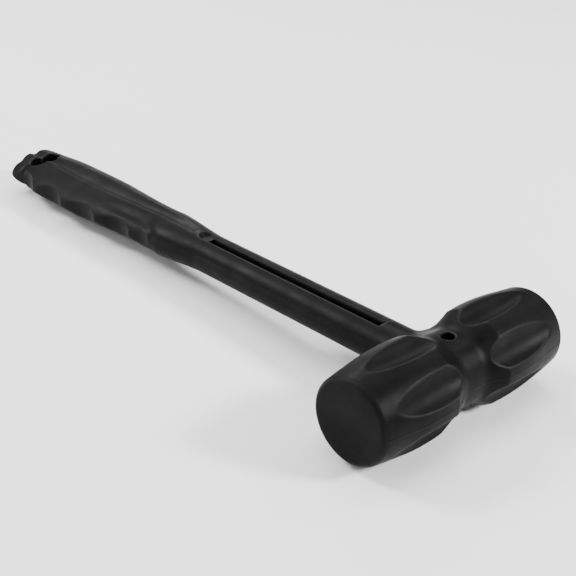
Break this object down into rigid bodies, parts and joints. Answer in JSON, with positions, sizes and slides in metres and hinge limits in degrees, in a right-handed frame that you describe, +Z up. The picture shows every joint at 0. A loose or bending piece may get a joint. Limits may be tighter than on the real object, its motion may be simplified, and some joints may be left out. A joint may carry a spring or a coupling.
{
  "type": "dead blow mallet",
  "caption": "Double-faced dead blow mallet: a fluted black jacket moulded over a steel canister of loose shot and a handle rod, with finger grooves and a hang hole.",
  "frame": {"origin": "under the middle of the mallet's box, on the surface it lies on", "axes": "+X from the butt of the handle to the head, +Y along the head's axis to the far striking face, +Z up as it lies flat"},
  "size_m": [0.319, 0.1112, 0.0406],
  "materials": {
    "black_urethane": "satin black moulded urethane with a fine skin, slightly glossier on the edges",
    "tube_steel": "cold-drawn steel tube and pressed caps, plain",
    "black_steel": "black oxide steel",
    "shot_steel": "bright steel balls"
  },
  "bodies": {
    "mallet": {"jacket": "black_urethane", "canister_tube": "tube_steel", "canister_cap_far": "tube_steel", "canister_cap_near": "tube_steel", "handle_socket": "black_steel", "socket_pin": "black_steel", "core_rod": "black_steel", "anchor_collar_front": "black_steel", "anchor_collar_rear": "black_steel"},
    "shot": {"steel_shot_01": "shot_steel", "steel_shot_02": "shot_steel", "steel_shot_03": "shot_steel", "steel_shot_04": "shot_steel", "steel_shot_05": "shot_steel", "steel_shot_06": "shot_steel", "steel_shot_07": "shot_steel", "steel_shot_08": "shot_steel", "steel_shot_09": "shot_steel", "steel_shot_10": "shot_steel", "steel_shot_11": "shot_steel", "steel_shot_12": "shot_steel", "steel_shot_13": "shot_steel", "steel_shot_14": "shot_steel", "steel_shot_15": "shot_steel", "steel_shot_16": "shot_steel", "steel_shot_17": "shot_steel", "steel_shot_18": "shot_steel", "steel_shot_19": "shot_steel", "steel_shot_20": "shot_steel", "steel_shot_21": "shot_steel", "steel_shot_22": "shot_steel", "steel_shot_23": "shot_steel", "steel_shot_24": "shot_steel", "steel_shot_25": "shot_steel", "steel_shot_26": "shot_steel", "steel_shot_27": "shot_steel", "steel_shot_28": "shot_steel", "steel_shot_29": "shot_steel", "steel_shot_30": "shot_steel", "steel_shot_31": "shot_steel", "steel_shot_32": "shot_steel", "steel_shot_33": "shot_steel", "steel_shot_34": "shot_steel", "steel_shot_35": "shot_steel", "steel_shot_36": "shot_steel", "steel_shot_37": "shot_steel", "steel_shot_38": "shot_steel", "steel_shot_39": "shot_steel", "steel_shot_40": "shot_steel", "steel_shot_41": "shot_steel", "steel_shot_42": "shot_steel", "steel_shot_43": "shot_steel", "steel_shot_44": "shot_steel", "steel_shot_45": "shot_steel", "steel_shot_46": "shot_steel", "steel_shot_47": "shot_steel", "steel_shot_48": "shot_steel", "steel_shot_49": "shot_steel"}
  },
  "joints": [
    {"name": "shot_travel", "type": "slide", "parent": "mallet", "child": "shot", "axis": [0, 1, 0], "range_m": [-0.0145, 0.0145]}
  ]
}
